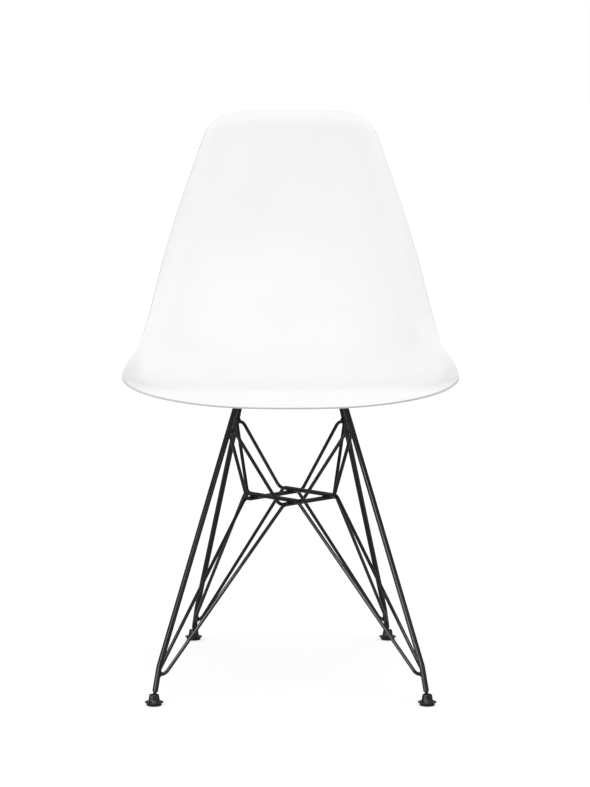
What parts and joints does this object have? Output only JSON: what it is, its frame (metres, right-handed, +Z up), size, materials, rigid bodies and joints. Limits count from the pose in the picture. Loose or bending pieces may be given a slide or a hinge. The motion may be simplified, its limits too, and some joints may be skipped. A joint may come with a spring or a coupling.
{
  "type": "moulded plastic shell chair",
  "caption": "Armless white moulded plastic bucket chair on a braced black steel wire base with self-levelling glides.",
  "frame": {"origin": "on the floor, at the middle of the box round the whole chair", "axes": "+X to the right of someone facing the chair, the seat opens towards -Y, +Z up"},
  "size_m": [0.4734, 0.55, 0.808],
  "materials": {
    "shell": "white moulded polypropylene, satin gloss",
    "wire": "black powder coat, semi gloss",
    "plated_steel": "zinc plated",
    "brass": "plain turned brass",
    "rubber": "matt black rubber",
    "boot": "black nylon, lightly polished",
    "sole": "black polythene"
  },
  "bodies": {
    "chair": {"seat_shell": "shell", "threaded_inserts": "brass", "mount_screws": "plated_steel", "screw_washers": "plated_steel", "cross_bar_lower": "wire", "cross_bar_upper": "wire", "leg_front_left": "wire", "upper_brace_front_left": "wire", "lower_brace_front_left": "wire", "rubber_mount_front_left": "rubber", "ball_stud_front_left": "wire", "leg_front_right": "wire", "upper_brace_front_right": "wire", "lower_brace_front_right": "wire", "rubber_mount_front_right": "rubber", "ball_stud_front_right": "wire", "leg_back_left": "wire", "upper_brace_back_left": "wire", "lower_brace_back_left": "wire", "rubber_mount_back_left": "rubber", "ball_stud_back_left": "wire", "leg_back_right": "wire", "upper_brace_back_right": "wire", "lower_brace_back_right": "wire", "rubber_mount_back_right": "rubber", "ball_stud_back_right": "wire"},
    "glide_front_left": {"glide_boot_front_left": "boot", "glide_sole_front_left": "sole"},
    "glide_front_right": {"glide_boot_front_right": "boot", "glide_sole_front_right": "sole"},
    "glide_back_left": {"glide_boot_back_left": "boot", "glide_sole_back_left": "sole"},
    "glide_back_right": {"glide_boot_back_right": "boot", "glide_sole_back_right": "sole"}
  },
  "joints": [
    {"name": "glide_tilt_front_left", "type": "hinge", "parent": "chair", "child": "glide_front_left", "pos_m": [-0.1887, -0.203, 0.0113], "axis": [0.854, -0.5202, 0], "range_deg": [-45, 10]},
    {"name": "glide_tilt_front_right", "type": "hinge", "parent": "chair", "child": "glide_front_right", "pos_m": [0.1887, -0.203, 0.0113], "axis": [0.854, 0.5202, 0], "range_deg": [-45, 10]},
    {"name": "glide_tilt_back_left", "type": "hinge", "parent": "chair", "child": "glide_back_left", "pos_m": [-0.1483, 0.262, 0.0113], "axis": [-0.9188, -0.3947, 0], "range_deg": [-45, 10]},
    {"name": "glide_tilt_back_right", "type": "hinge", "parent": "chair", "child": "glide_back_right", "pos_m": [0.1483, 0.262, 0.0113], "axis": [-0.9188, 0.3947, 0], "range_deg": [-45, 10]}
  ]
}
